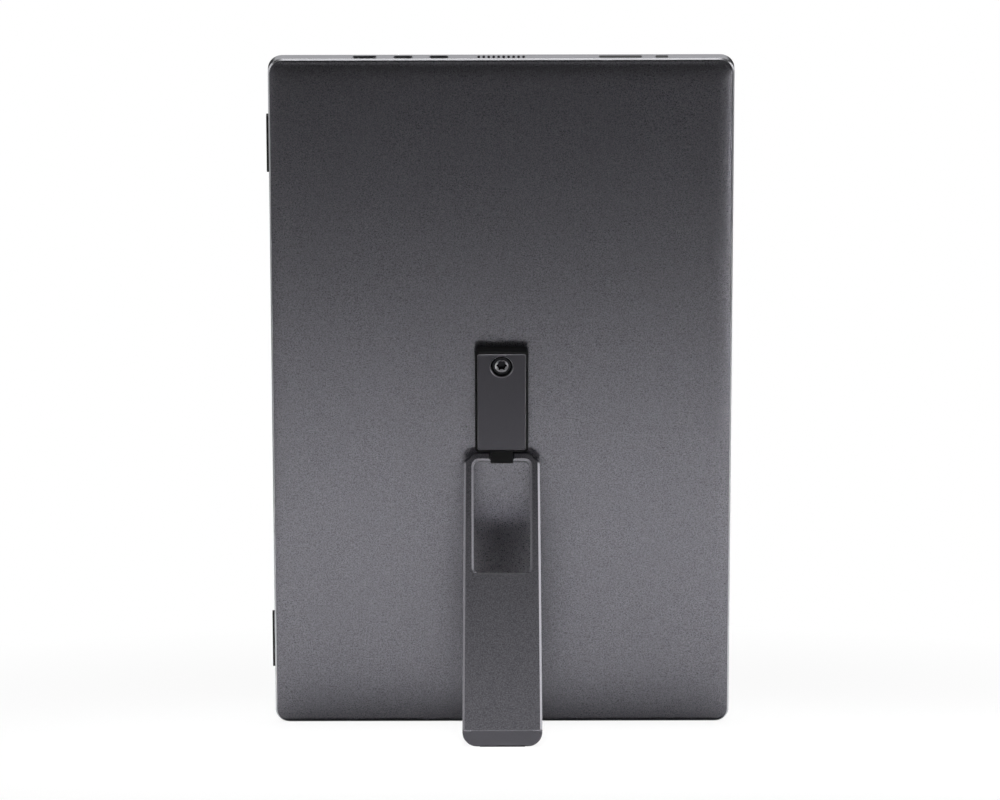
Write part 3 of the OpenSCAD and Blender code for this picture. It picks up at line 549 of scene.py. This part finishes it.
material, tree = new_material("cover_glass_with_black_border")
local = upright(tree)
inside = 1.0
for axis, printed, clear in (("X", -MONITOR_W / 2 + CHIN - SOFT_LINE, -MONITOR_W / 2 + CHIN),
                             ("X", MONITOR_W / 2 - BORDER, MONITOR_W / 2 - BORDER - SOFT_LINE),
                             ("Z", BORDER, BORDER + SOFT_LINE),
                             ("Z", MONITOR_H - BORDER, MONITOR_H - BORDER - SOFT_LINE)):
    place = add(tree, "SeparateXYZ", {"Vector": local}, axis)
    within_side = add(tree, "MapRange", {"Value": place, "From Min": printed, "From Max": clear})
    inside = add(tree, "Math", {0: inside, 1: within_side}, operation="MULTIPLY")
tone = add(tree, "Mix", {0: inside, 6: linear("#070708"), 7: linear("#14151A")}, **COLOURS)
surface(tree, Base_Color=tone, Roughness=0.06, IOR=1.5)
place_on(material, "cover_glass")

# %% [markdown]
# Behind the glass lie the liquid crystal cell, a dark sheet with a faint mottle of a few
# millimetres, and the light guide, a clear acrylic sheet with many small printed dots that send
# the light forward.

# %% Cell and light guide
CELL_MOTTLE = 3 * MM
DOT_STEP = 1.5 * MM

material, tree = new_material("liquid_crystal_cell")
grain = add(tree, "TexNoise", {"Vector": add(tree, "TexCoord", {}, "Object"), "Scale": 1 / CELL_MOTTLE})
tone = add(tree, "Mix", {0: grain, 6: linear("#1B1C22"), 7: linear("#202127")}, **COLOURS)
surface(tree, Base_Color=tone, Roughness=0.1, IOR=1.5)
place_on(material, "lcd_cell")

material, tree = new_material("acrylic_light_guide")
from_dot = add(tree, "TexVoronoi", {"Vector": upright(tree), "Scale": 1 / DOT_STEP}, "Distance")
clear = add(tree, "MapRange", {"Value": from_dot, "From Min": 0.2, "From Max": 0.3})
tone = add(tree, "Mix", {0: clear, 6: linear("#F6F6F2"), 7: linear("#DDE8EA")}, **COLOURS)
surface(tree, Base_Color=tone, Roughness=0.12)
place_on(material, "light_guide")

# %% [markdown]
# ## Floor and backdrop
# A pale floor runs back and up into a wall, with a wide curve between them, so that no line
# shows behind the object. The camera sees it nine tenths white near the object, where the shadow
# lies, and fully white further off. Every other ray sees a plain matt floor.

# %% The floor's material
SHADOW_R = 0.2
WHITE_R = 0.45
WHITE_NEAR = 0.9

floor_paper, tree = new_material("pale_studio_floor")
seen = add(tree, "LightPath", {}, "Is Camera Ray")
away = add(tree, "VectorMath", {0: add(tree, "TexCoord", {}, "Object")}, "Value", operation="LENGTH")
white_share = add(tree, "MapRange", {"Value": away, "From Min": SHADOW_R, "From Max": WHITE_R,
                                     "To Min": WHITE_NEAR, "To Max": 1.0})
share = add(tree, "Math", {0: seen, 1: white_share}, operation="MULTIPLY")
matt = add(tree, "BsdfDiffuse", {"Color": linear("#F2F2F2")})
white = add(tree, "Emission", {"Color": (1, 1, 1, 1), "Strength": 1.0})
add(tree, "OutputMaterial", {"Surface": add(tree, "MixShader", {0: share, 1: matt, 2: white})})
print(floor_paper.name, "has", len(tree.nodes), "nodes")

# %% [markdown]
# The floor starts as one edge at the front, which is pulled back, spun up through a quarter
# turn and pulled up. It is made wide and deep, so that a camera at any side of the object stands
# inside it and never looks at its back.

# %% The floor's mesh
FLOOR_HALF_W = 6.0
FLOOR_FRONT = -6.0
FLOOR_BACK = 5.5
SWEEP_R = 0.8
SWEEP_STEPS = 16
WALL_TOP = 7.5


def pull(mesh, edge, along):
    """Extrudes an edge along a vector and returns the new edge."""
    made = bmesh.ops.extrude_edge_only(mesh, edges=[edge])["geom"]
    bmesh.ops.translate(mesh, verts=[v for v in made if isinstance(v, bmesh.types.BMVert)], vec=along)
    return next(e for e in made if isinstance(e, bmesh.types.BMEdge))


def stage_object(name, mesh, material):
    """Makes a mesh part of the studio, not of the object."""
    data = bpy.data.meshes.new(name)
    mesh.to_mesh(data)
    mesh.free()
    data.shade_smooth()
    data.materials.append(material)
    made = bpy.data.objects.new(name, data)
    scene.collection.objects.link(made)
    print(name, len(data.polygons), "faces")
    return made


floor = bmesh.new()
edge = floor.edges.new([floor.verts.new((side * FLOOR_HALF_W, FLOOR_FRONT, 0)) for side in (-1, 1)])
edge = pull(floor, edge, (0, FLOOR_BACK - FLOOR_FRONT, 0))
swept = bmesh.ops.spin(floor, geom=[edge, *edge.verts], cent=(0, FLOOR_BACK, SWEEP_R), axis=(1, 0, 0),
                       angle=math.pi / 2, steps=SWEEP_STEPS)["geom_last"]
edge = next(e for e in swept if isinstance(e, bmesh.types.BMEdge))
pull(floor, edge, (0, 0, WALL_TOP))
stage_object("studio_floor", floor, floor_paper)

# %% [markdown]
# ## Lights
# Metal is only as bright as what it mirrors. The leaning back mirrors the floor in front of it,
# which is bright near the object and dimmer further off, and this gives the back its slow change
# from dark at the top to lighter below. So three narrow lamps draw that bright patch on the
# floor, a large one at the right lights the right edges, and one above lights the top edge.

# %% Lights
KEY_W, KEY_H = 0.7, 0.85
OVERHEAD_W, OVERHEAD_H = 1.4, 0.8


def softbox(name, place, target, width, height, power, spread=180):
    """A rectangular soft light that faces a point."""
    lamp = bpy.data.lights.new(name, "AREA")
    lamp.shape = "RECTANGLE"
    lamp.size, lamp.size_y = width, height
    lamp.energy = power
    lamp.spread = math.radians(spread)
    box = bpy.data.objects.new(name, lamp)
    scene.collection.objects.link(box)
    aim = (Vector(target) - Vector(place)).to_track_quat("-Z", "Y").to_matrix().to_4x4()
    box.matrix_world = Matrix.Translation(place) @ aim
    print(name, round(power, 2), "W")


def glow(level, width, height):
    """Power of a soft light whose face has this radiance, where 1 is white."""
    return level * math.pi * width * height


softbox("key_right", place=(1.1, 0, 0.42), target=(0, 0, 0.17), width=KEY_W, height=KEY_H,
        power=glow(0.5, KEY_W, KEY_H), spread=120)
softbox("overhead", place=(0, 0.95, 1.2), target=(0, 0, 0.3), width=OVERHEAD_W, height=OVERHEAD_H,
        power=glow(1.8, OVERHEAD_W, OVERHEAD_H))
softbox("floor_strip", place=(0.1, -0.38, 1.2), target=(0.1, -0.07, 0), width=0.78, height=0.24,
        power=1.12, spread=23)
softbox("floor_right", place=(0.58, -0.42, 1.1), target=(0.55, -0.3, 0), width=0.3, height=0.4,
        power=0.85, spread=25)
softbox("floor_left", place=(-0.75, -0.5, 1.1), target=(-0.7, -0.42, 0), width=0.25, height=0.3,
        power=0.14, spread=25)

# %% [markdown]
# Two cards stand outside the picture, as in a real studio: a black cloth in front, higher than
# the object, and a softly glowing grey card on its left. The camera doesn't see them, but the
# metal mirrors them.

# %% Cards
def card(name, centre, turn, width, height, material):
    """A flat card beside or before the object."""
    mesh = bmesh.new()
    lie = Matrix.Translation(centre) @ Matrix.Rotation(turn, 4, "Z") @ Matrix.Rotation(math.pi / 2, 4, "X")
    bmesh.ops.create_grid(mesh, x_segments=1, y_segments=1, size=0.5,
                          matrix=lie @ Matrix.Diagonal((width, height, 1, 1)))
    stage_object(name, mesh, material).visible_camera = False


material, tree = new_material("black_cloth")
surface(tree, Base_Color=linear("#101010"), Roughness=0.9)
card("black_flag", centre=(0, -0.6, 0.62), turn=0, width=1.8, height=0.5, material=material)

material, tree = new_material("grey_card")
grey = add(tree, "Emission", {"Color": (1, 1, 1, 1), "Strength": 0.85})
add(tree, "OutputMaterial", {"Surface": grey})
card("grey_card_left", centre=(-0.95, -0.1, 0.46), turn=math.pi / 2, width=1.1, height=0.9, material=material)

# %% [markdown]
# The world is white to the camera, to a mirror and through glass, and dim to everything else, so
# that it adds hardly any light of its own.

# %% World
AMBIENT = 0.05

world = bpy.data.worlds.new("studio_world")
scene.world = world
world.use_nodes = True
tree = world.node_tree
tree.nodes.clear()
seen = 0.0
for ray in ("Is Camera Ray", "Is Glossy Ray", "Is Transmission Ray"):
    seen = add(tree, "Math", {0: seen, 1: add(tree, "LightPath", {}, ray)}, operation="MAXIMUM")
strength = add(tree, "MapRange", {"Value": seen, "To Min": AMBIENT, "To Max": 1.0})
sky = add(tree, "Background", {"Color": (1, 1, 1, 1), "Strength": strength})
add(tree, "OutputWorld", {"Surface": sky})
scene.view_settings.view_transform = "Standard"
print("world has", len(tree.nodes), "nodes")
